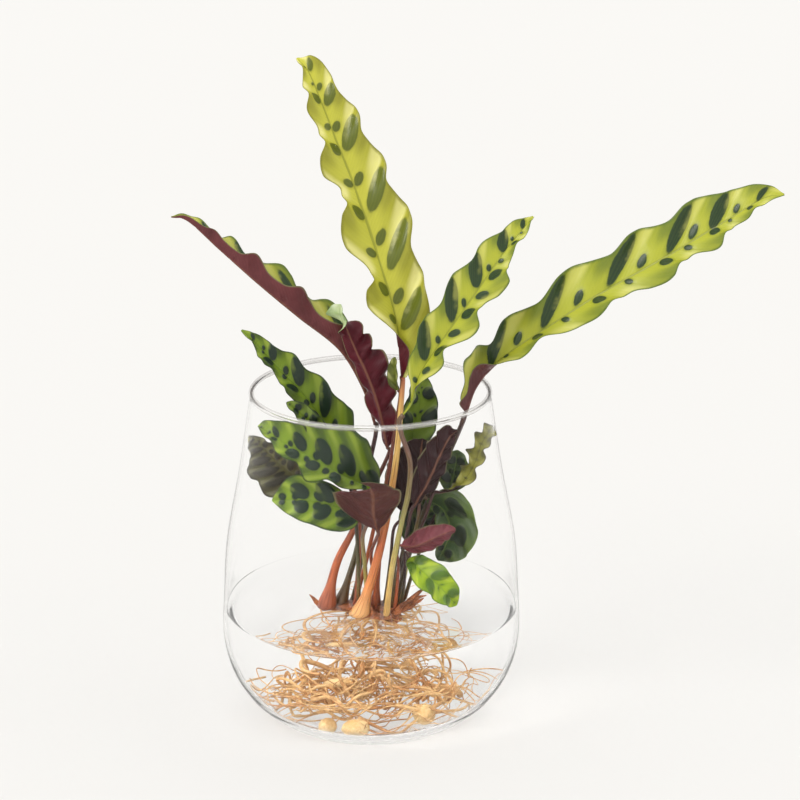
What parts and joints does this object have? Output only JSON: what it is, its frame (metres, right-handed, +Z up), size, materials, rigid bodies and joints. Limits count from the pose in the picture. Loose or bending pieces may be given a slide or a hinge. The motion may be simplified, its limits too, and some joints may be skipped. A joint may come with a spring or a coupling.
{
  "type": "rattlesnake plant growing in water in a clear glass vase",
  "caption": "Prayer plant with long wavy blotched leaves on thin stems, rooted in water in a tapered clear glass vase with a rounded lip.",
  "frame": {"origin": "middle of the vase's foot, on the surface that it stands on", "axes": "+Z up, -Y towards the front of the picture, +X to the right of it"},
  "size_m": [0.3553, 0.186, 0.4094],
  "materials": {
    "glass": "clear, polished",
    "water": "clear, still",
    "crown": "rough, dry sheaths",
    "root": "matt, fibrous",
    "leaf_lime": "waxy, lime with dark green blotches, maroon underneath",
    "leaf_green": "waxy, green with dark green blotches, maroon underneath",
    "leaf_dark": "waxy, dark green with lime veins, maroon underneath",
    "leaf_olive": "waxy, olive with dark margins, maroon underneath",
    "leaf_maroon": "satin, the underside shows",
    "petiole_yellow": "smooth, waxy",
    "petiole_tan": "smooth, waxy",
    "petiole_rust": "smooth, waxy",
    "petiole_brown": "smooth, waxy"
  },
  "bodies": {
    "root": {"glass_vase": "glass", "water": "water", "crown": "crown", "roots": "root", "leaf_top": "leaf_lime", "petiole_top": "petiole_yellow", "leaf_right_long": "leaf_lime", "petiole_right_long": "petiole_brown", "leaf_right_mid": "leaf_lime", "petiole_right_mid": "petiole_tan", "leaf_left_long": "leaf_maroon", "petiole_left_long": "petiole_brown", "leaf_left_purple": "leaf_maroon", "petiole_left_purple": "petiole_rust", "leaf_left_spotted": "leaf_green", "petiole_left_spotted": "petiole_rust", "leaf_left_small": "leaf_olive", "petiole_left_small": "petiole_brown", "leaf_bud": "leaf_green", "petiole_bud": "petiole_rust", "leaf_back_dark": "leaf_olive", "petiole_back_dark": "petiole_brown", "leaf_glass_upper": "leaf_green", "petiole_glass_upper": "petiole_rust", "leaf_glass_far": "leaf_olive", "petiole_glass_far": "petiole_brown", "leaf_glass_lower": "leaf_green", "petiole_glass_lower": "petiole_tan", "leaf_front_purple": "leaf_maroon", "petiole_front_purple": "petiole_rust", "leaf_centre_dark": "leaf_maroon", "petiole_centre_dark": "petiole_brown", "leaf_right_purple": "leaf_maroon", "petiole_right_purple": "petiole_brown", "leaf_right_rippled": "leaf_olive", "petiole_right_rippled": "petiole_brown", "leaf_right_upper": "leaf_dark", "petiole_right_upper": "petiole_brown", "leaf_right_lower": "leaf_dark", "petiole_right_lower": "petiole_tan", "leaf_small_purple": "leaf_maroon", "petiole_small_purple": "petiole_rust", "leaf_small_green": "leaf_green", "petiole_small_green": "petiole_brown", "leaf_low_back": "leaf_dark", "petiole_low_back": "petiole_brown"}
  },
  "joints": []
}
